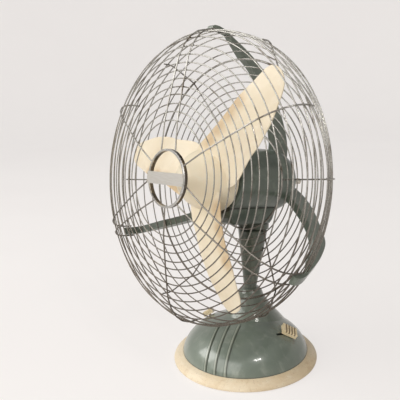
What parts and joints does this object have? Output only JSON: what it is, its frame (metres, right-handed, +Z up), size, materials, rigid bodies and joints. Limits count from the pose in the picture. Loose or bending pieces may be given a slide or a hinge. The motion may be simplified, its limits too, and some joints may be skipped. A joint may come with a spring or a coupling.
{
  "type": "oscillating desk fan",
  "caption": "Desk fan with a round domed base, leaning column, enclosed motor, three pitched blades and a wire guard carried on curved arms; the head tilts and swings.",
  "frame": {"origin": "centre of the underside of the felt under the base", "axes": "+Z up, the base faces -Y; the head is drawn tilted up and turned part way through its swing"},
  "size_m": [0.4384, 0.3037, 0.5405],
  "materials": {
    "felt": "pressed felt",
    "plate": "dull paint",
    "screw": "zinc plate",
    "cream": "aged gloss",
    "green": "gloss enamel, worn",
    "rubber": "matte",
    "column": "gloss enamel, worn",
    "steel": "machined",
    "knob": "aged",
    "bakelite": "moulded",
    "nickel": "nickel plate",
    "iron": "laminated",
    "copper": "enamelled wire",
    "brass": "turned",
    "blade": "cream enamel",
    "chrome": "bright plate",
    "badge": "bare satin strip",
    "wire": "dull plate",
    "arm": "green enamel, worn"
  },
  "bodies": {
    "stand": {"felt_pad": "felt", "base_plate": "plate", "plate_screws": "screw", "base_ring": "cream", "base_dome": "green", "cable_gland": "rubber", "column": "column", "tilt_pin": "steel", "switch_right": "bakelite", "switch_left": "bakelite"},
    "speed_slider": {"slider_right": "knob"},
    "swing_slider": {"slider_left": "knob"},
    "knuckle": {"tilt_knuckle": "column", "anchor_arm": "steel"},
    "head": {"gear_pan": "green", "pan_screws": "screw", "motor_front_shell": "green", "motor_rear_shell": "green", "stator_core": "iron", "windings": "copper", "front_bush": "brass", "rear_bush": "brass", "rear_bracket": "steel", "spindle_shelf": "steel", "hub_ring": "chrome", "badge_strap": "badge", "strap_rivets": "nickel", "front_rings": "wire", "front_spokes": "wire", "rim_wires": "wire", "rear_rings": "wire", "knee_ring": "wire", "rear_spokes": "wire", "inner_ring": "wire", "guard_arm_top": "arm", "guard_arm_left": "arm", "guard_arm_right": "arm", "arm_screws": "screw"},
    "rotor": {"motor_shaft": "steel", "rotor_core": "iron", "worm": "steel", "spinner": "cream", "spinner_bush": "brass", "spinner_screw": "steel", "blade_1": "blade", "blade_2": "blade", "blade_3": "blade"},
    "worm_wheel_set": {"worm_wheel": "bakelite", "wheel_spindle": "steel", "crank_disc": "steel"},
    "link": {"link_rod": "steel"},
    "clutch_knob": {"oscillation_knob": "nickel"}
  },
  "joints": [
    {"name": "tilt", "type": "hinge", "parent": "stand", "child": "knuckle", "pos_m": [0, 0.034, 0.1816], "axis": [-1, 0, 0], "range_deg": [-7, 12]},
    {"name": "swing", "type": "hinge", "parent": "knuckle", "child": "head", "pos_m": [0, 0.04328, 0.2348], "axis": [0, 0.1719, 0.9851], "range_deg": [-24.8, 55.2]},
    {"name": "rotor_spin", "type": "hinge", "parent": "head", "child": "rotor", "pos_m": [-0.03173, -0.06143, 0.31398], "axis": [-0.2622, -0.9506, 0.1659], "continuous": true},
    {"name": "wheel_turn", "type": "hinge", "parent": "head", "child": "worm_wheel_set", "pos_m": [-0.00542, 0.08466, 0.28848], "axis": [0, 0.1719, 0.9851], "continuous": true},
    {"name": "link_turn", "type": "hinge", "parent": "worm_wheel_set", "child": "link", "pos_m": [0.00037, 0.07391, 0.24975], "axis": [0, 0.1719, 0.9851], "continuous": true},
    {"name": "clutch_slide", "type": "slide", "parent": "head", "child": "clutch_knob", "axis": [-0.2622, -0.9506, 0.1659], "range_m": [0, 0.006]},
    {"name": "speed_slide", "type": "slide", "parent": "stand", "child": "speed_slider", "axis": [-0.3367, -0.9081, 0.249], "range_m": [0, 0.02]},
    {"name": "second_slide", "type": "slide", "parent": "stand", "child": "swing_slider", "axis": [0.015, 0.9998, -0.014], "range_m": [0, 0.02]}
  ],
  "couplings": [
    {"joint": "wheel_turn", "follows": "rotor_spin", "ratio": -0.05},
    {"joint": "link_turn", "follows": "rotor_spin", "ratio": 0.05}
  ]
}
